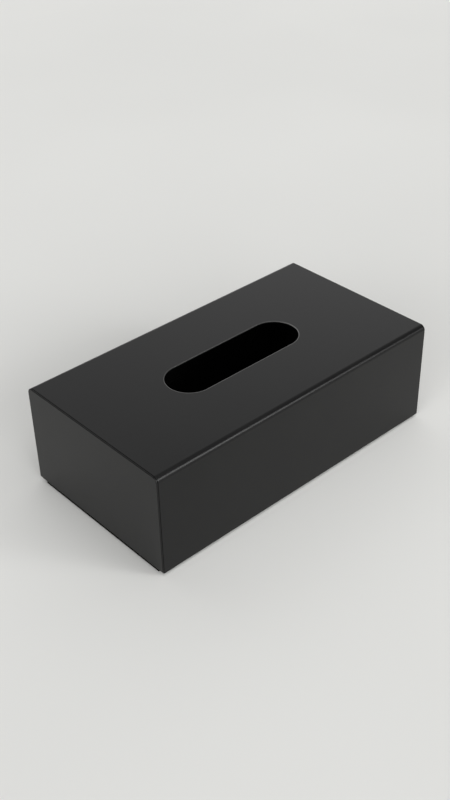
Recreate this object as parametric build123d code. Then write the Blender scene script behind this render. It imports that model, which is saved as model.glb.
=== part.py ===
from build123d import *
import os

# Tissue box with a drawer: a folded steel sleeve, closed at its far end by a welded plate and at
# its mouth by the front of a drawer that carries the pack of tissues. Millimetres.
# +X runs along the box towards the far end, the drawer pulls out along -X, +Y is the back
# long wall, +Z is up, and the origin is on the table under the middle of the box.

# --- whole box ---
LENGTH = 250.0            # over the drawer front and the far end plate
WIDTH = 135.0             # over the two long walls
HEIGHT = 80.0             # from the table to the top face

# --- sleeve: one sheet folded to a channel with inward flanges along the bottom ---
SHEET = 1.2
TOP_BEND_R = 4.0          # outer radius of the two top bends
BOTTOM_BEND_R = 1.7       # outer radius of the two bottom bends
FLANGE_WIDTH = 20.0       # from the outside of a long wall to the flange's free edge
SLOT_LENGTH = 114.0       # tissue slot, round-ended
SLOT_WIDTH = 35.0
SLOT_BURR = 0.3           # the slot's top edge is eased by this much

# --- end plates ---
END_PLATE = 0.9           # thickness of the drawer front and of the far end plate
PLATE_EDGE_R = 0.5        # the ground outer edge of both plates
REVEAL = 0.4              # gap between the closed drawer front and the sleeve's mouth
FRONT_LIFT = 1.0          # from the top of the flanges up to the drawer front's lower edge
FRONT_LOWER_R = 0.6       # the drawer front's two lower corners

# --- mouth tie, feet and glides ---
TIE_WIDTH = 9.0           # flat bar across the mouth between the flanges
FOOT_HEIGHT = 1.4
FOOT_STRIP_WIDTH = 8.0
FOOT_INSET = 6.0          # feet stay this far inside the long walls
FAR_FOOT_LENGTH = 24.0    # along the flange
FAR_FOOT_WIDTH = 10.0
FAR_FOOT_MARGIN = 8.0     # from the far end's outer face
GLIDE_THICKNESS = 0.5
GLIDE_WIDTH = 8.0
GLIDE_MARGIN = 6.0        # from each end of the sleeve

# --- drawer tray: one thinner sheet, folded, with its corners welded ---
TRAY_SHEET = 1.0
TRAY_BEND_R = 2.0         # outer radius along the floor
TRAY_CORNER_R = 1.5       # outer radius up the corners and along the end walls' feet
SIDE_GAP = 0.8            # tray to the inside of each long wall
TOP_GAP = 0.8             # end walls to the underside of the sleeve's top
GLIDE_GAP = 0.1           # tray floor to the glides
LOW_WALL = 24.0           # height of the side walls where the pack is gripped
WALL_RETURN = 12.0        # full-height part of each side wall, beside the end walls
WALL_SLOPE = 26.0         # length of the slope from full height to low wall
WALL_KNEE_R = 9.0         # round at the foot and the head of each slope
TRAVEL = 190.0            # how far the drawer pulls out
STOP_GAP = 0.1            # left between stop tab and tie at full travel
STOP_WIDTH = 30.0
STOP_BITE = 1.1           # how far the stop tab reaches down beside the tie
FINGER_LENGTH = 34.0      # finger slot in the tray floor, across the drawer
FINGER_WIDTH = 15.0
FINGER_SETBACK = 32.0     # from the drawer front's face to the middle of the finger slot

# --- fixings of the drawer front ---
STUD_DIA = 3.0
STUD_LENGTH = 5.0
STUD_CLEARANCE = 0.2      # radial, in the tray's front wall
STUD_INSET_Y = 23.5       # from the tray's sides
STUD_INSET_LOW = 18.0     # from the tray floor to the lower pair
STUD_INSET_HIGH = 19.0    # from the tray's top to the upper pair
WASHER_DIA = 7.0
WASHER_THICKNESS = 0.5
NUT_ACROSS_FLATS = 5.5
NUT_THICKNESS = 2.0
THREAD_CLEARANCE = 0.05   # radial, nut and washer on stud

# --- magnetic catch and buffers on the inside of the far end plate ---
CATCH_DEPTH = 4.6
CATCH_GAP = 0.3           # magnet and buffers to the tray's rear wall
CATCH_WIDTH = 26.0
CATCH_HEIGHT = 14.0
CATCH_ROUND = 3.0
MAGNET_DIA = 10.0
MAGNET_DEPTH = 3.0
MAGNET_FIT = 0.05         # radial, in its pocket
BUFFER_DIA = 9.0
BUFFER_TIP_DIA = 6.0
BUFFER_INSET = 21.5       # from the tray's sides
BUFFER_LIFT = 18.0        # above the tray floor

NEAR = 0.01               # tolerance for picking edges and corners by their place

# --- planes and lines that several pieces share ---
FRONT_FACE = -LENGTH / 2
MOUTH = FRONT_FACE + END_PLATE + REVEAL
FAR_INSIDE = LENGTH / 2 - END_PLATE
TIE_BACK = MOUTH + TIE_WIDTH
FLANGE_TOP = FOOT_HEIGHT + SHEET
FLANGE_EDGE = WIDTH / 2 - FLANGE_WIDTH
WALL_INSIDE = WIDTH / 2 - SHEET
TRAY_HALF = WALL_INSIDE - SIDE_GAP
TRAY_BOTTOM = FLANGE_TOP + GLIDE_THICKNESS + GLIDE_GAP
TRAY_FLOOR = TRAY_BOTTOM + TRAY_SHEET
TRAY_TOP = HEIGHT - SHEET - TOP_GAP
TRAY_FRONT = FRONT_FACE + END_PLATE
TRAY_REAR = FAR_INSIDE - CATCH_DEPTH - CATCH_GAP
TRAY_MIDDLE_Z = (TRAY_BOTTOM + TRAY_TOP) / 2
FLANGE_FLAT_MIDDLE = (FLANGE_EDGE + WIDTH / 2 - BOTTOM_BEND_R) / 2
FRONT_BACK_SIDES = {"front": -1, "back": 1}


def span(x0, x1, y0, y1, z0, z1):
    """A block between two corners."""
    return Pos((x0 + x1) / 2, (y0 + y1) / 2, (z0 + z1) / 2) * Box(x1 - x0, y1 - y0, z1 - z0)


def across(half_width, z0, z1, lower_r, upper_r):
    """An outline across the box: a rectangle with its own lower and upper corner radii."""
    outline = Plane.YZ * Pos(0, (z0 + z1) / 2) * Rectangle(2 * half_width, z1 - z0)
    outline = fillet(outline.vertices().group_by(Axis.Z)[0], lower_r)
    return fillet(outline.vertices().group_by(Axis.Z)[-1].sort_by(Axis.Y), upper_r)


def along(outline, x0, x1):
    """The outline drawn out along the box from x0 to x1."""
    return Pos(x0, 0, 0) * extrude(outline, x1 - x0)


def stadium(length, width):
    """A round-ended slot outline, its length along the sketch's X."""
    return SlotOverall(length, width)


def sleeve_shell():
    """Top, two long walls and two bottom flanges, folded from one sheet."""
    outside = across(WIDTH / 2, FOOT_HEIGHT, HEIGHT, BOTTOM_BEND_R, TOP_BEND_R)
    inside = across(
        WALL_INSIDE, FLANGE_TOP, HEIGHT - SHEET, BOTTOM_BEND_R - SHEET, TOP_BEND_R - SHEET
    )
    shell = along(outside, MOUTH, FAR_INSIDE) - along(inside, MOUTH, FAR_INSIDE)
    shell -= span(MOUTH, FAR_INSIDE, -FLANGE_EDGE, FLANGE_EDGE, 0, FLANGE_TOP)
    shell -= Pos(0, 0, HEIGHT - SHEET) * extrude(stadium(SLOT_LENGTH, SLOT_WIDTH), SHEET)
    rim = shell.edges().filter_by_position(Axis.Z, HEIGHT - NEAR, HEIGHT + NEAR)
    rim = rim.filter_by_position(Axis.Y, -SLOT_WIDTH / 2 - NEAR, SLOT_WIDTH / 2 + NEAR)
    rim = rim.filter_by_position(Axis.X, -SLOT_LENGTH / 2 - NEAR, SLOT_LENGTH / 2 + NEAR)
    return chamfer(rim, SLOT_BURR)


def end_plate(z0, lower_r, outer_x, inward):
    """A plate with the sleeve's outline above z0 and a ground edge round its outer face."""
    outline = across(WIDTH / 2, z0, HEIGHT, lower_r, TOP_BEND_R)
    x0, x1 = sorted((outer_x, outer_x + inward * END_PLATE))
    plate = along(outline, x0, x1)
    outer = plate.faces().sort_by(Axis.X)[0 if inward > 0 else -1]
    return fillet(outer.edges(), PLATE_EDGE_R)


def far_end_plate():
    """Closes the far end and is welded to the sleeve all round."""
    return end_plate(FOOT_HEIGHT, BOTTOM_BEND_R, LENGTH / 2, -1)


def drawer_front():
    """Covers the mouth; its lower edge stands just above the flanges."""
    return end_plate(FLANGE_TOP + FRONT_LIFT, FRONT_LOWER_R, FRONT_FACE, 1)


def mouth_tie():
    """Flat bar welded between the flanges; it squares the mouth and stops the drawer."""
    return span(MOUTH, TIE_BACK, -FLANGE_EDGE, FLANGE_EDGE, FOOT_HEIGHT, FLANGE_TOP)


def mouth_foot():
    """Rubber strip under the tie and both flanges at the mouth."""
    half = WIDTH / 2 - FOOT_INSET
    return span(MOUTH, MOUTH + FOOT_STRIP_WIDTH, -half, half, 0, FOOT_HEIGHT)


def far_foot(side):
    """Round-ended rubber pad under one flange near the far end."""
    middle_x = LENGTH / 2 - FAR_FOOT_MARGIN - FAR_FOOT_LENGTH / 2
    pad = extrude(stadium(FAR_FOOT_LENGTH, FAR_FOOT_WIDTH), FOOT_HEIGHT)
    return Pos(middle_x, side * FLANGE_FLAT_MIDDLE, 0) * pad


def glide_strip(side):
    """Slippery strip on one flange, which the tray floor runs on."""
    middle_y = side * FLANGE_FLAT_MIDDLE
    return span(
        MOUTH + GLIDE_MARGIN, FAR_INSIDE - GLIDE_MARGIN,
        middle_y - GLIDE_WIDTH / 2, middle_y + GLIDE_WIDTH / 2,
        FLANGE_TOP, FLANGE_TOP + GLIDE_THICKNESS,
    )


def stud_places():
    """Y and Z of the four studs on the back of the drawer front."""
    heights = (TRAY_FLOOR + STUD_INSET_LOW, TRAY_TOP - STUD_INSET_HIGH)
    return [(side * (TRAY_HALF - STUD_INSET_Y), z) for side in (-1, 1) for z in heights]


def rod(radius, x0, length, y, z):
    """A round bar along +X from x0."""
    return Pos(x0, y, z) * extrude(Plane.YZ * Circle(radius), length)


def side_wall_dip():
    """The cut-out that lowers both side walls between their full-height returns."""
    left, right = TRAY_FRONT + WALL_RETURN, TRAY_REAR - WALL_RETURN
    low, high = TRAY_FLOOR + LOW_WALL, TRAY_TOP
    above = high + WALL_KNEE_R
    outline = Polyline(
        (left - WALL_RETURN, above), (left - WALL_RETURN, high), (left, high),
        (left + WALL_SLOPE, low), (right - WALL_SLOPE, low),
        (right, high), (right + WALL_RETURN, high), (right + WALL_RETURN, above),
        close=True,
    )
    face = make_face(Plane.XZ * outline)
    knees = [v for v in face.vertices() if low - NEAR < v.Z < high + NEAR]
    knees = [v for v in knees if left - NEAR < v.X < right + NEAR]
    face = fillet(knees, WALL_KNEE_R)
    return extrude(face, TRAY_HALF, both=True)


def drawer_tray():
    """Folded tray with tall end walls, dipped side walls, a finger slot and a stop tab."""
    # folded taller than it ends up, then its top is trimmed with round corners
    spare = TOP_BEND_R + TRAY_CORNER_R
    folded = across(TRAY_HALF, TRAY_BOTTOM, TRAY_TOP + spare, TRAY_BEND_R, TRAY_CORNER_R)
    body = along(folded, TRAY_FRONT, TRAY_REAR)
    ends = body.faces().sort_by(Axis.X)
    body = fillet(list(ends[0].edges()) + list(ends[-1].edges()), TRAY_CORNER_R)
    trimmed = across(TRAY_HALF, TRAY_BOTTOM - spare, TRAY_TOP, TRAY_CORNER_R, TOP_BEND_R)
    body &= along(trimmed, TRAY_FRONT, TRAY_REAR)
    hollow = across(
        TRAY_HALF - TRAY_SHEET, TRAY_FLOOR, TRAY_TOP + TOP_BEND_R,
        TRAY_BEND_R - TRAY_SHEET, TRAY_SHEET / 2,
    )
    body -= along(hollow, TRAY_FRONT + TRAY_SHEET, TRAY_REAR - TRAY_SHEET)
    body -= side_wall_dip()
    finger_x = FRONT_FACE + FINGER_SETBACK
    finger = Pos(finger_x, 0, TRAY_BOTTOM) * Rot(0, 0, 90) * stadium(FINGER_LENGTH, FINGER_WIDTH)
    body -= extrude(finger, TRAY_SHEET)
    # the stop tab is lanced out of the floor and folded down, leaving its window behind it
    tab_x = TIE_BACK + TRAVEL + STOP_GAP
    drop = TRAY_BOTTOM - FLANGE_TOP + STOP_BITE
    half = STOP_WIDTH / 2
    body -= span(tab_x + TRAY_SHEET, tab_x + TRAY_SHEET + drop, -half, half, TRAY_BOTTOM, TRAY_FLOOR)
    body += span(tab_x, tab_x + TRAY_SHEET, -half, half, TRAY_BOTTOM - drop, TRAY_FLOOR)
    for y, z in stud_places():
        body -= rod(STUD_DIA / 2 + STUD_CLEARANCE, TRAY_FRONT, TRAY_SHEET, y, z)
    return body


def front_studs():
    """Four weld studs on the back of the drawer front, through the tray's front wall."""
    return [rod(STUD_DIA / 2, TRAY_FRONT, STUD_LENGTH, y, z) for y, z in stud_places()]


def ring(outline, thickness, x0, y, z):
    """A flat piece with the outline and a hole for a stud, from x0 along +X."""
    piece = Pos(x0, y, z) * extrude(Plane.YZ * outline, thickness)
    return piece - rod(STUD_DIA / 2 + THREAD_CLEARANCE, x0, thickness, y, z)


def front_washers():
    """A washer on each stud, against the tray's front wall."""
    x0 = TRAY_FRONT + TRAY_SHEET
    outline = Circle(WASHER_DIA / 2)
    return [ring(outline, WASHER_THICKNESS, x0, y, z) for y, z in stud_places()]


def front_nuts():
    """A nut on each stud, against its washer."""
    x0 = TRAY_FRONT + TRAY_SHEET + WASHER_THICKNESS
    outline = RegularPolygon(NUT_ACROSS_FLATS / 2, 6, major_radius=False)
    return [ring(outline, NUT_THICKNESS, x0, y, z) for y, z in stud_places()]


def catch_housing():
    """Block on the far end plate with a round pocket for the magnet, open to the drawer."""
    outline = RectangleRounded(CATCH_WIDTH, CATCH_HEIGHT, CATCH_ROUND)
    x0 = FAR_INSIDE - CATCH_DEPTH
    block = Pos(x0, 0, TRAY_MIDDLE_Z) * extrude(Plane.YZ * outline, CATCH_DEPTH)
    return block - rod(MAGNET_DIA / 2 + MAGNET_FIT, x0, MAGNET_DEPTH, 0, TRAY_MIDDLE_Z)


def catch_magnet():
    """Disc magnet, flush with the face of its housing."""
    return rod(MAGNET_DIA / 2, FAR_INSIDE - CATCH_DEPTH, MAGNET_DEPTH, 0, TRAY_MIDDLE_Z)


def drawer_buffer(side):
    """Rubber cone on the far end plate, which the closed drawer comes up to."""
    base = Plane(
        origin=(FAR_INSIDE, side * (TRAY_HALF - BUFFER_INSET), TRAY_FLOOR + BUFFER_LIFT),
        x_dir=(0, 1, 0),
        z_dir=(-1, 0, 0),
    )
    tip = base.offset(CATCH_DEPTH)
    return loft([base * Circle(BUFFER_DIA / 2), tip * Circle(BUFFER_TIP_DIA / 2)])


def all_parts():
    """Every node's name with its solid, or its list of like solids."""
    parts = {
        "sleeve_shell": sleeve_shell(),
        "far_end_plate": far_end_plate(),
        "mouth_tie": mouth_tie(),
        "mouth_foot": mouth_foot(),
        "catch_housing": catch_housing(),
        "catch_magnet": catch_magnet(),
        "drawer_tray": drawer_tray(),
        "drawer_front": drawer_front(),
        "front_studs": front_studs(),
        "front_washers": front_washers(),
        "front_nuts": front_nuts(),
    }
    for name, side in FRONT_BACK_SIDES.items():
        parts["far_foot_" + name] = far_foot(side)
        parts["glide_strip_" + name] = glide_strip(side)
        parts["drawer_buffer_" + name] = drawer_buffer(side)
    return parts


def main():
    """Write one file for each piece."""
    os.makedirs("parts", exist_ok=True)
    for name, solids in all_parts().items():
        shape = Compound(children=solids) if isinstance(solids, list) else solids
        export_step(shape, os.path.join("parts", name + ".step"))


main()
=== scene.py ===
"""Tissue box with a drawer, dressed for a studio picture.

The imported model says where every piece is. Each class below models one sub-assembly round
those places, in metres, with the box standing on the floor at z = 0, and gives each piece the
finish of the real box.
"""
import logging
import math
from contextlib import contextmanager
from dataclasses import dataclass, replace
from enum import Enum
from typing import Any, Callable, Iterable, Iterator

import bmesh
import bpy
from mathutils import Matrix, Vector


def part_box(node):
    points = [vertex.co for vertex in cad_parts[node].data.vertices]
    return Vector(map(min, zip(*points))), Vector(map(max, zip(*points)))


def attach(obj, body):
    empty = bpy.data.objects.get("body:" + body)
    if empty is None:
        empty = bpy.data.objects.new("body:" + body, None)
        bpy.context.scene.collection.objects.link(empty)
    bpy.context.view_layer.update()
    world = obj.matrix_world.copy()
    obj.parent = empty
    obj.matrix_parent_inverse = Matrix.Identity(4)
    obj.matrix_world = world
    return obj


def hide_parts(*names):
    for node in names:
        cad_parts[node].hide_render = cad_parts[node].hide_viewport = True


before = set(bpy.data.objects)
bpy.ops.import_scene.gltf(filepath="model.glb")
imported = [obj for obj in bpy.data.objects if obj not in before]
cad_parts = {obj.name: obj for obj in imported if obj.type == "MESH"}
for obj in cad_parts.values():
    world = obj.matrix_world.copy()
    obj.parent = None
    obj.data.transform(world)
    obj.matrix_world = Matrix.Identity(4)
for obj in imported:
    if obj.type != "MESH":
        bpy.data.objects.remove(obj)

log = logging.getLogger("tissue_box")

MM = 0.001
# Places nearer than this are the same place.
TINY = 0.02 * MM
# How far a cutter runs past what it cuts.
PAST = 1.0 * MM
# Faces that meet at more than this angle have an edge between them.
SHARP = math.radians(35)
# A direction with more than this along an axis runs along that axis.
MOSTLY = 0.9
# How much of the half width a full round end takes, so that its two halves don't meet.
NEARLY = 0.9995

Test = Callable[[Vector, Vector], bool]


class Body(Enum):
    """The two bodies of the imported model."""

    SLEEVE = "sleeve"
    DRAWER = "drawer"


class Slot(Enum):
    """The record's material slots."""

    COAT = "black_coat"
    RUBBER = "black_rubber"
    NYLON = "black_nylon"
    PLATING = "bright_plating"
    ZINC = "zinc_steel"


class Element(Enum):
    """What an edit-mode selection is made of."""

    VERTEX = "VERT"
    EDGE = "EDGE"
    FACE = "FACE"


class Side(Enum):
    """The two long sides of the box, as the nodes spell them."""

    FRONT = "front"
    BACK = "back"


# ---------------------------------------------------------------------------------------------
# Modelling by hand: starting shapes, selections and finishing touches
# ---------------------------------------------------------------------------------------------


def select_only(piece: bpy.types.Object) -> None:
    """Makes one object the whole selection and the active one."""
    bpy.ops.object.select_all(action="DESELECT")
    piece.select_set(True)
    bpy.context.view_layer.objects.active = piece


def settle(piece: bpy.types.Object) -> None:
    """Moves an object's place, turn and scale into its mesh."""
    select_only(piece)
    bpy.ops.object.transform_apply(location=True, rotation=True, scale=True)


def block(name: str, low: Iterable[float], high: Iterable[float]) -> bpy.types.Object:
    """Adds a block between two corners.

    Args:
        name: the new object's name.
        low: lowest corner.
        high: highest corner.

    Returns:
        The block, its place in its mesh.
    """
    low, high = Vector(low), Vector(high)
    bpy.ops.object.select_all(action="DESELECT")
    bpy.ops.mesh.primitive_cube_add(size=1, location=(low + high) / 2, scale=high - low)
    piece = bpy.context.object
    piece.name = piece.data.name = name
    settle(piece)
    return piece


def rod(
    name: str, start: Iterable[float], radius: float, length: float, sides: int = 48
) -> bpy.types.Object:
    """Adds a round or many-sided bar that runs along +X.

    Args:
        name: the new object's name.
        start: middle of its low end.
        radius: to its corners.
        length: along X.
        sides: how many sides it has.

    Returns:
        The bar, its place in its mesh.
    """
    bpy.ops.object.select_all(action="DESELECT")
    middle = Vector(start) + Vector((length / 2, 0, 0))
    bpy.ops.mesh.primitive_cylinder_add(
        vertices=sides, radius=radius, depth=length, location=middle,
        rotation=(0, math.pi / 2, 0),
    )
    piece = bpy.context.object
    piece.name = piece.data.name = name
    settle(piece)
    return piece


@contextmanager
def editing(piece: bpy.types.Object) -> Iterator[None]:
    """Opens one piece in edit mode, with nothing selected, and closes it afterwards."""
    select_only(piece)
    bpy.ops.object.mode_set(mode="EDIT")
    bpy.ops.mesh.select_all(action="DESELECT")
    try:
        yield
    finally:
        bpy.ops.object.mode_set(mode="OBJECT")


def pick(piece: bpy.types.Object, kind: Element, test: Test) -> int:
    """Selects, in edit mode, what passes a test on its middle and its direction.

    Args:
        piece: the piece that is open in edit mode.
        kind: vertices, edges or faces.
        test: gets the element's middle, and its normal or, for an edge, its direction.

    Returns:
        How many elements are selected.
    """
    bpy.ops.mesh.select_mode(type=kind.value)
    bpy.ops.mesh.select_all(action="DESELECT")
    mesh = bmesh.from_edit_mesh(piece.data)
    count = 0
    if kind is Element.FACE:
        found = [(f, f.calc_center_median(), f.normal) for f in mesh.faces]
    elif kind is Element.EDGE:
        found = [
            (e, (e.verts[0].co + e.verts[1].co) / 2, (e.verts[1].co - e.verts[0].co).normalized())
            for e in mesh.edges
        ]
    else:
        found = [(v, v.co, v.normal) for v in mesh.verts]
    for element, middle, direction in found:
        chosen = test(middle, direction)
        element.select_set(chosen)
        count += chosen
    mesh.select_flush_mode()
    bmesh.update_edit_mesh(piece.data)
    return count


def round_edges(piece: bpy.types.Object, test: Test, radius: float, steps: int) -> None:
    """Bevels the edges that pass the test.

    Args:
        piece: the piece, in object mode.
        test: says which edges, by middle and direction.
        radius: how far the round starts from each edge.
        steps: how many faces the round has.
    """
    with editing(piece):
        if pick(piece, Element.EDGE, test):
            bpy.ops.mesh.bevel(offset=radius, segments=steps, profile=0.5, affect="EDGES")


def ease_sharp_edges(
    piece: bpy.types.Object, radius: float, steps: int, keep: Test = lambda place, line: False
) -> None:
    """Rounds every edge that is still sharp, as powder coat does.

    Args:
        piece: the piece, in object mode.
        radius: of the round.
        steps: how many faces the round has.
        keep: says which edges stay sharp.
    """
    with editing(piece):
        bpy.ops.mesh.select_mode(type="EDGE")
        mesh = bmesh.from_edit_mesh(piece.data)
        for edge in mesh.edges:
            middle = (edge.verts[0].co + edge.verts[1].co) / 2
            line = (edge.verts[1].co - edge.verts[0].co).normalized()
            sharp = edge.is_manifold and edge.calc_face_angle() > SHARP
            edge.select_set(sharp and not keep(middle, line))
        bmesh.update_edit_mesh(piece.data)
        bpy.ops.mesh.bevel(offset=radius, segments=steps, profile=0.5, affect="EDGES")


def cut_faces(piece: bpy.types.Object, test: Test) -> None:
    """Deletes the faces that pass the test."""
    with editing(piece):
        pick(piece, Element.FACE, test)
        bpy.ops.mesh.delete(type="FACE")


def slice_at(piece: bpy.types.Object, point: Iterable[float], normal: Iterable[float]) -> None:
    """Runs a new line of edges round the piece where a plane crosses it."""
    with editing(piece):
        bpy.ops.mesh.select_all(action="SELECT")
        bpy.ops.mesh.bisect(plane_co=tuple(point), plane_no=tuple(normal))


def modified(piece: bpy.types.Object, kind: str, **settings: Any) -> None:
    """Adds a modifier with the settings and applies it."""
    select_only(piece)
    modifier = piece.modifiers.new(kind.lower(), kind)
    for name, value in settings.items():
        setattr(modifier, name, value)
    bpy.ops.object.modifier_apply(modifier=modifier.name)


def combined(piece: bpy.types.Object, other: bpy.types.Object, how: str) -> None:
    """Cuts, trims or joins the piece with another, which is used up.

    Args:
        piece: the piece that stays.
        other: the cutter or the addition.
        how: DIFFERENCE, INTERSECT or UNION.
    """
    modified(piece, "BOOLEAN", operation=how, object=other, solver="EXACT")
    bpy.data.objects.remove(other)


def smooth(piece: bpy.types.Object) -> None:
    """Shades rounds smooth and flats flat."""
    select_only(piece)
    bpy.ops.object.shade_smooth_by_angle(angle=SHARP)
    modified(piece, "WEIGHTED_NORMAL", keep_sharp=True, weight=90)


def gathered(name: str, pieces: list[bpy.types.Object]) -> bpy.types.Object:
    """Joins like pieces into one object of separate solids."""
    select_only(pieces[0])
    for piece in pieces:
        piece.select_set(True)
    bpy.ops.object.join()
    whole = bpy.context.object
    whole.name = whole.data.name = name
    return whole


def spun(
    name: str, profile: list[tuple[float, float]], start: Vector, steps: int = 40
) -> bpy.types.Object:
    """Turns a profile round a line along X into a closed solid.

    Args:
        name: the new object's name.
        profile: (distance along X, radius) points from one end of the line to the other.
        start: where the line begins.
        steps: how many faces go round.

    Returns:
        The turned piece, its place in its mesh.
    """
    mesh = bpy.data.meshes.new(name)
    points = [(x, 0.0, radius) for x, radius in profile]
    mesh.from_pydata(points, [(i, i + 1) for i in range(len(points) - 1)], [])
    piece = bpy.data.objects.new(name, mesh)
    bpy.context.scene.collection.objects.link(piece)
    with editing(piece):
        bpy.ops.mesh.select_all(action="SELECT")
        bpy.ops.mesh.spin(steps=steps, angle=2 * math.pi, center=(0, 0, 0), axis=(1, 0, 0))
        bpy.ops.mesh.select_all(action="SELECT")
        bpy.ops.mesh.remove_doubles(threshold=TINY / 4)
        bpy.ops.mesh.normals_make_consistent(inside=False)
    piece.location = start
    settle(piece)
    return piece


# ---------------------------------------------------------------------------------------------
# Finishes
# ---------------------------------------------------------------------------------------------


class NodeSheet:
    """A node tree with short ways to add and join its nodes."""

    def __init__(self, tree: bpy.types.NodeTree) -> None:
        """Keeps the tree, emptied of its first nodes."""
        self.tree = tree
        tree.nodes.clear()

    def feed(self, socket: bpy.types.NodeSocket, value: Any) -> None:
        """Joins a socket to another node's output, or gives it a constant."""
        if isinstance(value, bpy.types.NodeSocket):
            self.tree.links.new(value, socket)
        else:
            socket.default_value = value

    def add(
        self, kind: str, inputs: dict[str, Any] | None = None, **settings: Any
    ) -> bpy.types.Node:
        """Adds a node.

        Args:
            kind: the node's type name, without ShaderNode in front.
            inputs: socket name to a value, or to another node's output to join it to.
            settings: the node's own properties.

        Returns:
            The new node.
        """
        node = self.tree.nodes.new(kind if kind.startswith("Node") else "ShaderNode" + kind)
        for name, value in settings.items():
            setattr(node, name, value)
        for name, value in (inputs or {}).items():
            self.feed(node.inputs[name], value)
        return node

    def noise(
        self, place: bpy.types.NodeSocket, scale: Any, detail: float, rough: float = 0.5
    ) -> bpy.types.NodeSocket:
        """Adds a noise texture and returns its grey output."""
        inputs = {"Vector": place, "Scale": scale, "Detail": detail, "Roughness": rough}
        return self.add("TexNoise", inputs).outputs["Fac"]

    def spread(
        self, value: bpy.types.NodeSocket, old: tuple[float, float], new: tuple[float, float]
    ) -> bpy.types.NodeSocket:
        """Maps a value from one range to another, smoothly and clamped at both ends."""
        inputs = {
            "Value": value,
            "From Min": old[0], "From Max": old[1], "To Min": new[0], "To Max": new[1],
        }
        return self.add("MapRange", inputs, interpolation_type="SMOOTHSTEP").outputs["Result"]

    def math(self, how: str, first: Any, second: Any = 0.0) -> bpy.types.NodeSocket:
        """Adds a math node and returns its output."""
        node = self.add("Math", operation=how)
        self.feed(node.inputs[0], first)
        self.feed(node.inputs[1], second)
        return node.outputs[0]

    def blend(self, share: bpy.types.NodeSocket, first: Any, second: Any) -> bpy.types.NodeSocket:
        """Blends two colours and returns the result, which is the second where share is 1."""
        node = self.add("Mix", {"Factor": share}, data_type="RGBA")
        colours = [socket for socket in node.inputs if socket.type == "RGBA"]
        self.feed(colours[0], first)
        self.feed(colours[1], second)
        return next(socket for socket in node.outputs if socket.type == "RGBA")


# How much of the surface's height is fine grain; the rest is the slower waves under it.
GRAIN_SHARE = 0.65


def grain_group() -> bpy.types.NodeTree:
    """Builds the fine grain and the handling marks that all the finishes share.

    Returns:
        A group that takes Place, Grain Scale, Peel Scale and Mark Scale, and puts out the
        surface Height and masks for Marks and Specks, each from 0 to 1.
    """
    tree = bpy.data.node_groups.new("surface_grain", "ShaderNodeTree")
    sheet = NodeSheet(tree)
    tree.interface.new_socket("Place", in_out="INPUT", socket_type="NodeSocketVector")
    for name in ("Grain Scale", "Peel Scale", "Mark Scale"):
        tree.interface.new_socket(name, in_out="INPUT", socket_type="NodeSocketFloat")
    for name in ("Height", "Marks", "Specks"):
        tree.interface.new_socket(name, in_out="OUTPUT", socket_type="NodeSocketFloat")
    given = sheet.add("NodeGroupInput")
    place = given.outputs["Place"]
    grain = sheet.noise(place, given.outputs["Grain Scale"], 3.0, 0.6)
    peel = sheet.noise(place, given.outputs["Peel Scale"], 1.0, 0.4)
    height = sheet.math(
        "ADD", sheet.math("MULTIPLY", grain, GRAIN_SHARE),
        sheet.math("MULTIPLY", peel, 1 - GRAIN_SHARE),
    )
    marks = sheet.noise(place, given.outputs["Mark Scale"], 4.0, 0.55)
    marks = sheet.spread(marks, (0.30, 0.80), (0.0, 1.0))
    specks = sheet.noise(place, given.outputs["Grain Scale"], 0.0)
    specks = sheet.spread(specks, (0.72, 0.82), (0.0, 1.0))
    out = sheet.add("NodeGroupOutput")
    for name, value in (("Height", height), ("Marks", marks), ("Specks", specks)):
        tree.links.new(value, out.inputs[name])
    return tree


@dataclass(frozen=True)
class RimHighlight:
    """A painted highlight: a thin lighter line round a round-ended slot, standing in for the light
    that the slot's rounded edge catches.

    The line lies a little outside the slot's edge. It is full near its middle and gone further
    off, and full at the surface and gone below it.
    """

    half_length: float
    half_width: float
    height: float
    middle: float = 0.15 * MM
    full: float = 0.2 * MM
    gone: float = 0.5 * MM
    full_depth: float = 0.3 * MM
    gone_depth: float = 0.6 * MM
    # How much of the painted highlight is left along the slot's far side, which catches less light.
    far_share: float = 0.25
    # The painted highlight's colour, lighter than the coat.
    colour: tuple[float, float, float] = (0.17, 0.17, 0.167)

    def mask(self, sheet: NodeSheet, place: bpy.types.NodeSocket) -> bpy.types.NodeSocket:
        """Adds the nodes that find the line.

        Args:
            sheet: the material's node sheet.
            place: the Object coordinates.

        Returns:
            The mask, 1 on the painted highlight line and 0 away from it, and weaker along the
            slot's far side, which catches less light.
        """
        split = sheet.add("SeparateXYZ", {"Vector": place}).outputs
        straight = self.half_length - self.half_width
        along = sheet.math("SUBTRACT", sheet.math("ABSOLUTE", split["X"]), straight)
        along = sheet.math("MAXIMUM", along, 0.0)
        reach = sheet.math(
            "ADD", sheet.math("MULTIPLY", along, along),
            sheet.math("MULTIPLY", split["Y"], split["Y"]),
        )
        reach = sheet.math("SQRT", reach)
        off = sheet.math("SUBTRACT", reach, self.half_width + self.middle)
        near = sheet.spread(sheet.math("ABSOLUTE", off), (self.full, self.gone), (1.0, 0.0))
        depths = (self.height - self.gone_depth, self.height - self.full_depth)
        high = sheet.spread(split["Z"], depths, (0.0, 1.0))
        widths = (-self.half_width / 2, self.half_width)
        side = sheet.spread(split["Y"], widths, (1.0, self.far_share))
        return sheet.math("MULTIPLY", sheet.math("MULTIPLY", near, high), side)


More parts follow.
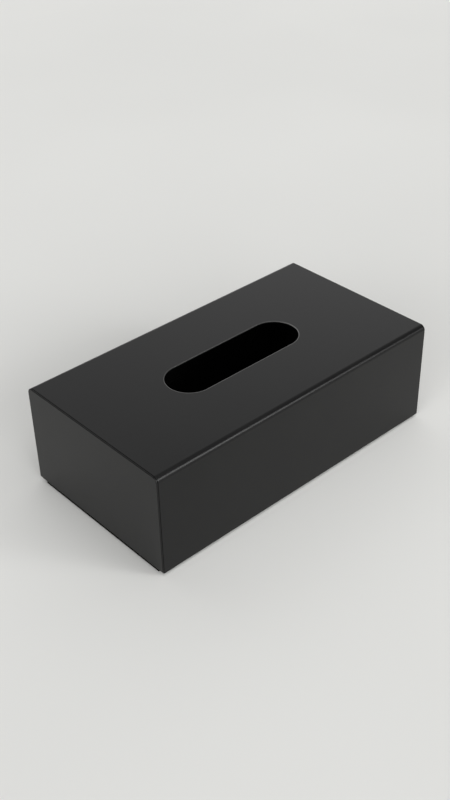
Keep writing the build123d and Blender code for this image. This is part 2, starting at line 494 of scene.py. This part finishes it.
@dataclass(frozen=True)
class Finish:
    """A finish: its colour, how rough it is, and the scales of its grain and marks.

    Sizes are in metres, so a scale of 2500 gives features about 0.4 mm across.
    """

    name: str
    slot: Slot
    colour: tuple[float, float, float]
    marked_colour: tuple[float, float, float]
    roughness: float
    marked_roughness: float
    metallic: float = 0.0
    specular: float = 0.5
    grain_scale: float = 2600.0
    peel_scale: float = 700.0
    mark_scale: float = 28.0
    grain_depth: float = 0.004 * MM
    speck_gain: float = 1.25
    # A painted highlight along a slot's rim, if the finish has one.
    rim: RimHighlight | None = None

    def material(self, grain: bpy.types.NodeTree) -> bpy.types.Material:
        """Builds the material.

        Args:
            grain: the shared group of grain and marks.

        Returns:
            The new material.
        """
        made = bpy.data.materials.new(self.name)
        made.use_nodes = True
        sheet = NodeSheet(made.node_tree)
        place = sheet.add("TexCoord").outputs["Object"]
        scales = {
            "Grain Scale": self.grain_scale, "Peel Scale": self.peel_scale,
            "Mark Scale": self.mark_scale,
        }
        surface = sheet.add("Group", {"Place": place, **scales}, node_tree=grain).outputs
        colour = sheet.blend(surface["Marks"], (*self.colour, 1), (*self.marked_colour, 1))
        gain = sheet.spread(surface["Specks"], (0, 1), (1.0, self.speck_gain))
        colour = sheet.add("HueSaturation", {"Color": colour, "Value": gain}).outputs["Color"]
        # Paints the rim highlight over the coat's colour.
        if self.rim:
            colour = sheet.blend(self.rim.mask(sheet, place), colour, (*self.rim.colour, 1))
        rough = sheet.spread(surface["Marks"], (0, 1), (self.roughness, self.marked_roughness))
        bump = sheet.add(
            "Bump", {"Height": surface["Height"], "Strength": 1.0, "Distance": self.grain_depth}
        )
        shader = sheet.add(
            "BsdfPrincipled",
            {
                "Base Color": colour,
                "Roughness": rough,
                "Metallic": self.metallic,
                "Specular IOR Level": self.specular,
                "Normal": bump.outputs["Normal"],
            },
        )
        sheet.add("OutputMaterial", {"Surface": shader.outputs["BSDF"]})
        return made


POWDER_COAT = Finish(
    "powder_coat_black", Slot.COAT, (0.0055, 0.0055, 0.0056), (0.0065, 0.0065, 0.0064),
    roughness=0.29, marked_roughness=0.315, specular=0.22,
)
# A blacker and duller coat than the rest of the box has: painted shade, so that the tie shows as
# the black shadow line under the drawer front.
SILL_PAINTED_SHADE_COAT = Finish(
    "powder_coat_sill_painted_shade", Slot.COAT, (0.0020, 0.0020, 0.0020), (0.0030, 0.0030, 0.0030),
    roughness=0.62, marked_roughness=0.70, specular=0.03,
)
# Black rubber made blacker and duller than the rubber is: partly its own colour, partly painted
# shade, so that the strip under the mouth shows as a black shadow line.
SOFT_RUBBER_PAINTED_SHADE = Finish(
    "soft_rubber_black_painted_shade", Slot.RUBBER, (0.0020, 0.0020, 0.0020), (0.0030, 0.0030, 0.0029),
    roughness=0.86, marked_roughness=0.92, specular=0.03, grain_scale=1800.0,
    grain_depth=0.012 * MM,
)
MOULDED_NYLON = Finish(
    "moulded_nylon_black", Slot.NYLON, (0.014, 0.014, 0.014), (0.018, 0.018, 0.018),
    roughness=0.5, marked_roughness=0.58, specular=0.4, grain_scale=3200.0,
    grain_depth=0.006 * MM,
)
NICKEL = Finish(
    "nickel_plating", Slot.PLATING, (0.62, 0.60, 0.56), (0.52, 0.50, 0.46),
    roughness=0.2, marked_roughness=0.32, metallic=1.0, mark_scale=180.0,
    grain_depth=0.001 * MM, speck_gain=1.02,
)
ZINC = Finish(
    "zinc_plating", Slot.ZINC, (0.56, 0.58, 0.60), (0.47, 0.49, 0.50),
    roughness=0.32, marked_roughness=0.46, metallic=1.0, mark_scale=260.0,
    grain_depth=0.002 * MM, speck_gain=1.04,
)


class Workshop:
    """Dresses finished pieces: material, body and the nodes they stand for."""

    def __init__(self) -> None:
        """Builds the shared group; a material is built when a piece first needs it."""
        self.grain = grain_group()
        self.materials: dict[str, bpy.types.Material] = {}

    def material(self, finish: Finish) -> bpy.types.Material:
        """The finish's material, built once."""
        if finish.name not in self.materials:
            self.materials[finish.name] = finish.material(self.grain)
        return self.materials[finish.name]

    def dress(
        self, piece: bpy.types.Object, finish: Finish, body: Body, nodes: Iterable[str]
    ) -> None:
        """Gives a piece its finish, lets it ride on a body and hides the nodes it replaces.

        Args:
            piece: the finished piece.
            finish: what it is coated with or made of.
            body: the body that carries it.
            nodes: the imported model's nodes that it stands for.
        """
        piece.data.materials.clear()
        piece.data.materials.append(self.material(finish))
        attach(piece, body.value)
        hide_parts(*nodes)
        faces = len(piece.data.polygons)
        log.info("%s: %s on the %s, %d faces", piece.name, finish.name, body.value, faces)


# ---------------------------------------------------------------------------------------------
# The box
# ---------------------------------------------------------------------------------------------


def end_plate(
    name: str, node: str, upper_r: float, lower_r: float, edge_r: float, outer_is_low: bool
) -> bpy.types.Object:
    """Models an end plate: round corners and a ground edge round its outer face.

    Args:
        name: the new piece's name.
        node: the node whose place it takes.
        upper_r: radius of its two top corners.
        lower_r: radius of its two bottom corners.
        edge_r: radius of the ground edge.
        outer_is_low: True if the outer face looks along -X.

    Returns:
        The plate.
    """
    low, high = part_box(node)
    middle = (low + high) / 2
    outer_x = low.x if outer_is_low else high.x
    plate = block(name, low, high)
    round_edges(plate, lambda p, d: abs(d.x) > MOSTLY and p.z > middle.z, upper_r, steps=14)
    round_edges(
        plate, lambda p, d: abs(d.x) > MOSTLY and p.z < low.z + TINY, lower_r, steps=8
    )
    round_edges(plate, lambda p, d: abs(p.x - outer_x) < TINY, edge_r, steps=8)
    smooth(plate)
    return plate


@dataclass
class Sleeve:
    """The folded sleeve with its far end plate, tie, feet, glides, catch and buffers."""

    workshop: Workshop
    sheet: float = 1.2 * MM
    top_bend: float = 4.0 * MM
    bottom_bend: float = 1.7 * MM
    flange_width: float = 20.0 * MM
    slot_length: float = 114.0 * MM
    slot_width: float = 35.0 * MM
    coat_round: float = 0.3 * MM
    plate_edge: float = 0.5 * MM
    foot_grooves: int = 3
    groove_depth: float = 0.25 * MM
    groove_inset: float = 1.5 * MM
    groove_share: float = 0.4
    foot_edge: float = 0.12 * MM
    pad_edge: float = 0.3 * MM
    glide_corner: float = 1.5 * MM
    glide_edge: float = 0.15 * MM
    buffer_tip_share: float = 2 / 3
    buffer_tip_round: float = 1.2 * MM
    catch_corner: float = 3.0 * MM
    catch_edge: float = 0.2 * MM
    magnet_gap: float = 0.05 * MM
    magnet_edge: float = 0.25 * MM

    def coat(self) -> Finish:
        """The sleeve's powder coat, with a painted highlight along the rim of the slot."""
        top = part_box("sleeve_shell")[1].z
        rim = RimHighlight(self.slot_length / 2, self.slot_width / 2, top)
        return replace(POWDER_COAT, name="powder_coat_sleeve_painted_rim_highlight", rim=rim)

    def shell(self) -> bpy.types.Object:
        """Folds the sleeve and cuts the tissue slot.

        Returns:
            The shell.
        """
        low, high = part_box("sleeve_shell")
        flange_edge = high.y - self.flange_width
        piece = block("sleeve_folded_shell", low, high)
        round_edges(
            piece, lambda p, d: abs(d.x) > MOSTLY and p.z > high.z - TINY, self.top_bend,
            steps=16,
        )
        round_edges(
            piece, lambda p, d: abs(d.x) > MOSTLY and p.z < low.z + TINY, self.bottom_bend,
            steps=10,
        )
        for sign in (-1, 1):
            slice_at(piece, (0, sign * flange_edge, 0), (0, 1, 0))
        cut_faces(piece, lambda p, n: abs(n.x) > MOSTLY)
        cut_faces(piece, lambda p, n: n.z < -MOSTLY and abs(p.y) < flange_edge)
        modified(
            piece, "SOLIDIFY", thickness=self.sheet, offset=-1.0, use_even_offset=True,
            use_rim=True,
        )
        combined(piece, self.slot_cutter(high.z), "DIFFERENCE")
        ease_sharp_edges(
            piece, self.coat_round, steps=3, keep=lambda p, d: p.x > high.x - TINY
        )
        smooth(piece)
        return piece

    def slot_cutter(self, top: float) -> bpy.types.Object:
        """The round-ended block that cuts the tissue slot through the top."""
        half_length, half_width = self.slot_length / 2, self.slot_width / 2
        cutter = block(
            "slot_cutter",
            (-half_length, -half_width, top - 3 * self.sheet),
            (half_length, half_width, top + self.sheet),
        )
        round_edges(cutter, lambda p, d: abs(d.z) > MOSTLY, half_width * NEARLY, steps=40)
        return cutter

    def far_plate(self) -> bpy.types.Object:
        """The plate that closes the far end."""
        return end_plate(
            "far_end_welded_plate", "far_end_plate", self.top_bend, self.bottom_bend,
            self.plate_edge, outer_is_low=False,
        )

    def tie(self) -> bpy.types.Object:
        """The flat bar across the mouth, its edges eased by the coat."""
        piece = block("mouth_tie_bar", *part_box("mouth_tie"))
        ease_sharp_edges(
            piece, self.coat_round / 2, steps=2, keep=lambda p, d: abs(d.x) > MOSTLY
        )
        smooth(piece)
        return piece

    def mouth_foot(self) -> bpy.types.Object:
        """The rubber strip under the mouth, with shallow grip grooves along its underside."""
        low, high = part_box("mouth_foot")
        piece = block("mouth_foot_strip", low, high)
        pitch = (high.x - low.x) / (self.foot_grooves + 1)
        half = pitch * self.groove_share / 2
        cutters = []
        for i in range(self.foot_grooves):
            x = low.x + pitch * (i + 1)
            cutters.append(block(
                "groove", (x - half, low.y + self.groove_inset, low.z - PAST),
                (x + half, high.y - self.groove_inset, low.z + self.groove_depth),
            ))
        combined(piece, gathered("grooves", cutters), "DIFFERENCE")
        ease_sharp_edges(piece, self.foot_edge, steps=2)
        smooth(piece)
        return piece

    def far_foot(self, side: Side) -> bpy.types.Object:
        """A round-ended rubber pad with a softened rim."""
        low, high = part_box("far_foot_" + side.value)
        piece = block("far_foot_pad_" + side.value, low, high)
        radius = (high.y - low.y) / 2
        round_edges(piece, lambda p, d: abs(d.z) > MOSTLY, radius * NEARLY, steps=16)
        round_edges(piece, lambda p, d: p.z < low.z + TINY, self.pad_edge, steps=4)
        smooth(piece)
        return piece

    def glide(self, side: Side) -> bpy.types.Object:
        """A slippery strip with rounded upper edges and lead-in ends."""
        low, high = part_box("glide_strip_" + side.value)
        piece = block("glide_" + side.value, low, high)
        round_edges(piece, lambda p, d: abs(d.z) > MOSTLY, self.glide_corner, steps=6)
        round_edges(piece, lambda p, d: p.z > high.z - TINY, self.glide_edge, steps=3)
        smooth(piece)
        return piece

    def buffer(self, side: Side) -> bpy.types.Object:
        """A rubber cone with a rounded tip, turned on its own axis."""
        low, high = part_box("drawer_buffer_" + side.value)
        base_r = (high.y - low.y) / 2
        tip_r = base_r * self.buffer_tip_share
        depth = high.x - low.x
        radius = self.buffer_tip_round
        arc = [math.radians(angle) for angle in range(90, -1, -15)]
        rounded = [
            (radius * (1 - math.sin(a)), tip_r - radius * (1 - math.cos(a))) for a in arc
        ]
        profile = [(0.0, 0.0), *rounded, (depth, base_r), (depth, 0.0)]
        start = Vector((low.x, (low.y + high.y) / 2, (low.z + high.z) / 2))
        piece = spun("drawer_stop_cone_" + side.value, profile, start)
        smooth(piece)
        return piece

    def catch(self) -> tuple[bpy.types.Object, bpy.types.Object]:
        """The catch housing with its pocket, and the magnet in it.

        Returns:
            The housing and the magnet.
        """
        low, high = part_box("catch_housing")
        magnet_low, magnet_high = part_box("catch_magnet")
        magnet_r = (magnet_high.y - magnet_low.y) / 2
        depth = magnet_high.x - magnet_low.x
        middle = (magnet_low + magnet_high) / 2
        housing = block("catch_block", low, high)
        round_edges(housing, lambda p, d: abs(d.x) > MOSTLY, self.catch_corner, steps=8)
        pocket = rod(
            "pocket", (low.x - PAST, middle.y, middle.z), magnet_r + self.magnet_gap,
            depth + PAST,
        )
        combined(housing, pocket, "DIFFERENCE")
        ease_sharp_edges(housing, self.catch_edge, steps=2)
        smooth(housing)
        magnet = rod("catch_disc", (magnet_low.x, middle.y, middle.z), magnet_r, depth)
        ease_sharp_edges(magnet, self.magnet_edge, steps=3)
        smooth(magnet)
        return housing, magnet

    def build(self) -> None:
        """Models and dresses every piece of the sleeve."""
        dress, body = self.workshop.dress, Body.SLEEVE
        dress(self.shell(), self.coat(), body, ["sleeve_shell"])
        dress(self.far_plate(), POWDER_COAT, body, ["far_end_plate"])
        # The tie takes the blacker coat of painted shade.
        dress(self.tie(), SILL_PAINTED_SHADE_COAT, body, ["mouth_tie"])
        # The strip under the mouth takes the rubber darkened as painted shade.
        dress(self.mouth_foot(), SOFT_RUBBER_PAINTED_SHADE, body, ["mouth_foot"])
        for side in Side:
            dress(self.far_foot(side), SOFT_RUBBER_PAINTED_SHADE, body, ["far_foot_" + side.value])
            dress(self.glide(side), MOULDED_NYLON, body, ["glide_strip_" + side.value])
            dress(self.buffer(side), SOFT_RUBBER_PAINTED_SHADE, body, ["drawer_buffer_" + side.value])
        housing, magnet = self.catch()
        dress(housing, MOULDED_NYLON, body, ["catch_housing"])
        dress(magnet, NICKEL, body, ["catch_magnet"])


@dataclass
class Drawer:
    """The drawer: its tray, its front, and the studs, washers and nuts that join them."""

    workshop: Workshop
    sheet: float = 1.0 * MM
    fold: float = 2.0 * MM
    top_corner: float = 4.0 * MM
    front_lower_corner: float = 0.6 * MM
    front_edge: float = 0.5 * MM
    running_gap: float = 0.1 * MM
    low_wall: float = 24.0 * MM
    wall_return: float = 12.0 * MM
    wall_slope: float = 26.0 * MM
    knee: float = 9.0 * MM
    travel: float = 190.0 * MM
    stop_gap: float = 0.1 * MM
    tab_width: float = 30.0 * MM
    window_width: float = 1.7 * MM
    finger_length: float = 34.0 * MM
    finger_width: float = 15.0 * MM
    finger_place: float = 32.0 * MM
    stud_radius: float = 1.5 * MM
    stud_hole: float = 3.4 * MM
    thread_pitch: float = 0.5 * MM
    thread_depth: float = 0.3 * MM
    bore_gap: float = 0.05 * MM
    washer_ease: float = 0.1 * MM
    nut_chamfer_share: float = 0.12
    coat_round: float = 0.2 * MM

    def front(self) -> bpy.types.Object:
        """The drawer front."""
        return end_plate(
            "drawer_front_plate", "drawer_front", self.top_corner, self.front_lower_corner,
            self.front_edge, outer_is_low=True,
        )

    def stud_middles(self) -> list[Vector]:
        """Where each stud starts, on the back of the drawer front."""
        low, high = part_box("front_studs")
        radius = self.stud_radius
        return [
            Vector((low.x, y, z))
            for y in (low.y + radius, high.y - radius)
            for z in (low.z + radius, high.z - radius)
        ]

    def tab_start(self) -> float:
        """Where the stop tab stands, so that the tie stops it at the end of the travel."""
        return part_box("mouth_tie")[1].x + self.travel + self.stop_gap

    def tray(self) -> bpy.types.Object:
        """Folds the tray, dips its side walls and cuts its holes.

        Returns:
            The tray.
        """
        low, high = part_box("drawer_tray")
        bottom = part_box("glide_strip_front")[1].z + self.running_gap
        floor = bottom + self.sheet
        piece = block("drawer_folded_tray", (low.x, low.y, bottom), high)
        round_edges(
            piece, lambda p, d: abs(d.z) > MOSTLY or p.z < bottom + TINY, self.fold, steps=6
        )
        cut_faces(piece, lambda p, n: n.z > MOSTLY)
        modified(
            piece, "SOLIDIFY", thickness=self.sheet, offset=-1.0, use_even_offset=True,
            use_rim=True,
        )
        limit = block(
            "limit", (low.x - PAST, low.y, bottom - PAST), (high.x + PAST, high.y, high.z)
        )
        round_edges(
            limit, lambda p, d: abs(d.x) > MOSTLY and p.z > high.z - TINY, self.top_corner,
            steps=12,
        )
        combined(piece, limit, "INTERSECT")
        combined(piece, self.dip_cutter(low, high, floor), "DIFFERENCE")
        combined(piece, self.floor_cutter(bottom), "DIFFERENCE")
        combined(piece, self.stop_tab(low.z, floor), "UNION")
        holes = [
            rod("hole", m - Vector((PAST, 0, 0)), self.stud_hole / 2, 4 * PAST, sides=32)
            for m in self.stud_middles()
        ]
        combined(piece, gathered("holes", holes), "DIFFERENCE")
        ease_sharp_edges(piece, self.coat_round, steps=2)
        smooth(piece)
        return piece

    def dip_cutter(self, low: Vector, high: Vector, floor: float) -> bpy.types.Object:
        """The block, narrower below, that dips both side walls between their returns."""
        left, right = low.x + self.wall_return, high.x - self.wall_return
        dip = floor + self.low_wall
        cutter = block("dip", (left, low.y - PAST, dip), (right, high.y + PAST, high.z))
        with editing(cutter):
            for start, move in ((left, self.wall_slope), (right, -self.wall_slope)):
                pick(
                    cutter, Element.VERTEX,
                    lambda p, n: abs(p.x - start) < TINY and p.z < dip + TINY,
                )
                bpy.ops.transform.translate(value=(move, 0, 0))
            pick(cutter, Element.FACE, lambda p, n: n.z > MOSTLY)
            bpy.ops.mesh.extrude_region_move(TRANSFORM_OT_translate={"value": (0, 0, 2 * PAST)})
        turn = math.atan2(high.z - dip, self.wall_slope)
        reach = self.knee * math.tan(turn / 2)
        round_edges(
            cutter, lambda p, d: abs(d.y) > MOSTLY and p.z < dip + TINY, reach, steps=10
        )
        return cutter

    def floor_cutter(self, bottom: float) -> bpy.types.Object:
        """The finger slot and the window that the stop tab is folded out of."""
        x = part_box("drawer_front")[0].x + self.finger_place
        half_length, half_width = self.finger_length / 2, self.finger_width / 2
        below, above = bottom - PAST, bottom + self.sheet + PAST
        finger = block(
            "finger", (x - half_width, -half_length, below), (x + half_width, half_length, above)
        )
        round_edges(finger, lambda p, d: abs(d.z) > MOSTLY, half_width * NEARLY, steps=20)
        start, half = self.tab_start() + self.sheet, self.tab_width / 2
        window = block(
            "window", (start, -half, below), (start + self.window_width, half, above)
        )
        return gathered("floor_cutter", [finger, window])

    def stop_tab(self, lowest: float, floor: float) -> bpy.types.Object:
        """The tab that meets the tie at the end of the drawer's travel."""
        start, half = self.tab_start(), self.tab_width / 2
        return block("tab", (start, -half, lowest), (start + self.sheet, half, floor - TINY))

    def studs(self) -> bpy.types.Object:
        """Four threaded studs."""
        low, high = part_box("front_studs")
        length, radius = high.x - low.x, self.stud_radius
        depth, pitch = self.thread_depth, self.thread_pitch
        profile = [(0.0, 0.0), (0.0, radius), (pitch, radius)]
        turns = int((length - 2 * pitch) / pitch)
        for i in range(turns):
            x = pitch * (1 + i)
            profile += [(x + pitch / 2, radius - depth), (x + pitch, radius)]
        profile += [(length, radius - depth), (length, 0.0)]
        pieces = [spun("stud", profile, m, 28) for m in self.stud_middles()]
        whole = gathered("front_threaded_studs", pieces)
        smooth(whole)
        return whole

    def washers(self) -> bpy.types.Object:
        """Four plain washers."""
        low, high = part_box("front_washers")
        thick = high.x - low.x
        outer = (high.y - low.y) / 2 - self.stud_middles()[-1].y
        inner = self.stud_radius + self.bore_gap
        ease = self.washer_ease
        profile = [
            (0, inner), (0, outer - ease), (ease, outer), (thick - ease, outer),
            (thick, outer - ease), (thick, inner), (0, inner),
        ]
        pieces = []
        for middle in self.stud_middles():
            start = Vector((low.x, middle.y, middle.z))
            pieces.append(spun("washer", profile, start, 40))
        whole = gathered("front_plain_washers", pieces)
        smooth(whole)
        return whole

    def nuts(self) -> bpy.types.Object:
        """Four hexagon nuts with chamfered corners and a plain bore."""
        low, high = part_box("front_nuts")
        thick = high.x - low.x
        corner = (high.y - low.y) / 2 - self.stud_middles()[-1].y
        pieces = []
        for middle in self.stud_middles():
            start = Vector((low.x, middle.y, middle.z))
            nut = rod("nut", start, corner, thick, 6)
            chamfer = corner * self.nut_chamfer_share
            profile = [
                (0, 0), (0, corner - chamfer), (chamfer / 2, corner), (thick - chamfer / 2, corner),
                (thick, corner - chamfer), (thick, 0),
            ]
            combined(nut, spun("turned", profile, start, 48), "INTERSECT")
            bore = rod(
                "bore", start - Vector((PAST, 0, 0)), self.stud_radius + self.bore_gap,
                thick + 2 * PAST, sides=32,
            )
            combined(nut, bore, "DIFFERENCE")
            pieces.append(nut)
        whole = gathered("front_hexagon_nuts", pieces)
        smooth(whole)
        return whole

    def build(self) -> None:
        """Models and dresses every piece of the drawer."""
        dress, body = self.workshop.dress, Body.DRAWER
        dress(self.front(), POWDER_COAT, body, ["drawer_front"])
        dress(self.tray(), POWDER_COAT, body, ["drawer_tray"])
        dress(self.studs(), ZINC, body, ["front_studs"])
        dress(self.washers(), ZINC, body, ["front_washers"])
        dress(self.nuts(), ZINC, body, ["front_nuts"])


# ---------------------------------------------------------------------------------------------
# The studio
# ---------------------------------------------------------------------------------------------


@dataclass
class PhotoCamera:
    """The camera, placed and aimed as the photograph was taken.

    Heading is measured from +Y towards +X, and heading, pitch and roll are in degrees. The lens
    is in millimetres and everything else in metres.
    """

    place: tuple[float, float, float] = (-0.437554, -0.481838, 0.504537)
    heading: float = 41.6752
    pitch: float = -35.3821
    roll: float = -1.4047
    focal_length: float = 50.513
    sensor_width: float = 36.0
    nearest: float = 0.01
    farthest: float = 100.0

    def build(self) -> None:
        """Adds the camera and makes it the scene's own."""
        data = bpy.data.cameras.new("photo_camera")
        data.lens = self.focal_length
        data.sensor_width = self.sensor_width
        data.clip_start, data.clip_end = self.nearest, self.farthest
        camera = bpy.data.objects.new("photo_camera", data)
        bpy.context.scene.collection.objects.link(camera)
        turn = (
            Matrix.Rotation(-math.radians(self.heading), 4, "Z")
            @ Matrix.Rotation(math.radians(90 + self.pitch), 4, "X")
            @ Matrix.Rotation(math.radians(self.roll), 4, "Z")
        )
        camera.matrix_world = Matrix.Translation(self.place) @ turn
        bpy.context.scene.camera = camera


@dataclass(frozen=True)
class Glow:
    """A soft patch of light in the room, brightest in the middle and fading round it.

    Heading is measured from +Y towards +X and rise from the floor, both in degrees. The glow has
    faded to half its strength where the angle's cosine has dropped by 0.69 / sharpness.
    """

    name: str
    heading: float
    rise: float
    sharpness: float
    strength: float

    def toward(self) -> Vector:
        """The direction of the glow's middle."""
        heading, rise = math.radians(self.heading), math.radians(self.rise)
        return Vector((
            math.sin(heading) * math.cos(rise), math.cos(heading) * math.cos(rise),
            math.sin(rise),
        ))

    def light(self, sheet: NodeSheet, direction: bpy.types.NodeSocket) -> bpy.types.NodeSocket:
        """Adds the nodes that say how bright the glow is in a direction.

        Args:
            sheet: the world's node sheet.
            direction: the direction's socket.

        Returns:
            The brightness.
        """
        near = sheet.add("VectorMath", operation="DOT_PRODUCT", label=self.name)
        sheet.feed(near.inputs[0], direction)
        sheet.feed(near.inputs[1], self.toward())
        away = sheet.math("SUBTRACT", near.outputs["Value"], 1.0)
        faded = sheet.math("EXPONENT", sheet.math("MULTIPLY", away, self.sharpness))
        return sheet.math("MULTIPLY", faded, self.strength)


ROOM_LIGHT = (
    Glow("window_upper", 145.5, 26.0, 130.0, 14.0),
    Glow("window_lower", 156.0, 18.0, 65.0, 5.5),
    Glow("wall_behind_camera", 199.0, 11.5, 18.3, 5.5),
    Glow("wall_left_of_camera", 254.0, 17.0, 14.3, 4.4),
    Glow("far_wall", 51.0, 17.0, 6.5, 1.15),
    Glow("ceiling_right", 72.0, 64.0, 14.0, 0.20),
    Glow("ceiling_far", 359.2, 43.4, 15.7, 0.90),
    Glow("ceiling_over_camera", 182.0, 71.7, 16.2, 2.35),
)


@dataclass
class Studio:
    """A pale floor in a softly lit room."""

    floor_half: float = 12.0
    floor_colour: tuple[float, float, float] = (0.806, 0.806, 0.785)
    floor_roughness: float = 0.9
    cloud_scale: float = 2.2
    cloud_gain: tuple[float, float] = (0.985, 1.015)

    def floor(self) -> None:
        """Lays the pale floor."""
        bpy.ops.object.select_all(action="DESELECT")
        bpy.ops.mesh.primitive_plane_add(size=2 * self.floor_half)
        plane = bpy.context.object
        plane.name = "studio_floor"
        made = bpy.data.materials.new("pale_floor")
        made.use_nodes = True
        sheet = NodeSheet(made.node_tree)
        place = sheet.add("TexCoord").outputs["Object"]
        cloud = sheet.noise(place, self.cloud_scale, 2.0)
        cloud = sheet.spread(cloud, (0.3, 0.7), self.cloud_gain)
        tint = sheet.add("HueSaturation", {"Color": (*self.floor_colour, 1), "Value": cloud})
        shader = sheet.add(
            "BsdfPrincipled",
            {
                "Base Color": tint.outputs["Color"],
                "Roughness": self.floor_roughness,
                "Specular IOR Level": 0.0,
            },
        )
        sheet.add("OutputMaterial", {"Surface": shader.outputs["BSDF"]})
        plane.data.materials.append(made)

    def room(self) -> None:
        """Lights the room with its soft glows."""
        world = bpy.data.worlds.new("studio_room")
        bpy.context.scene.world = world
        world.use_nodes = True
        sheet = NodeSheet(world.node_tree)
        direction = sheet.add("TexCoord").outputs["Generated"]
        light: Any = 0.0
        for glow in ROOM_LIGHT:
            light = sheet.math("ADD", light, glow.light(sheet, direction))
        colour = sheet.add("CombineColor", {"Red": light, "Green": light, "Blue": light})
        background = sheet.add("Background", {"Color": colour.outputs["Color"], "Strength": 1.0})
        sheet.add("OutputWorld", {"Surface": background.outputs["Background"]})

    def build(self) -> None:
        """Sets up the floor and the room."""
        self.floor()
        self.room()
        bpy.context.scene.view_settings.view_transform = "Standard"


def main() -> None:
    """Builds the studio and the box."""
    logging.basicConfig(level=logging.INFO, format="%(name)s: %(message)s")
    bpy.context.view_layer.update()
    PhotoCamera().build()
    Studio().build()
    workshop = Workshop()
    Sleeve(workshop).build()
    Drawer(workshop).build()


if __name__ == "__main__":
    main()
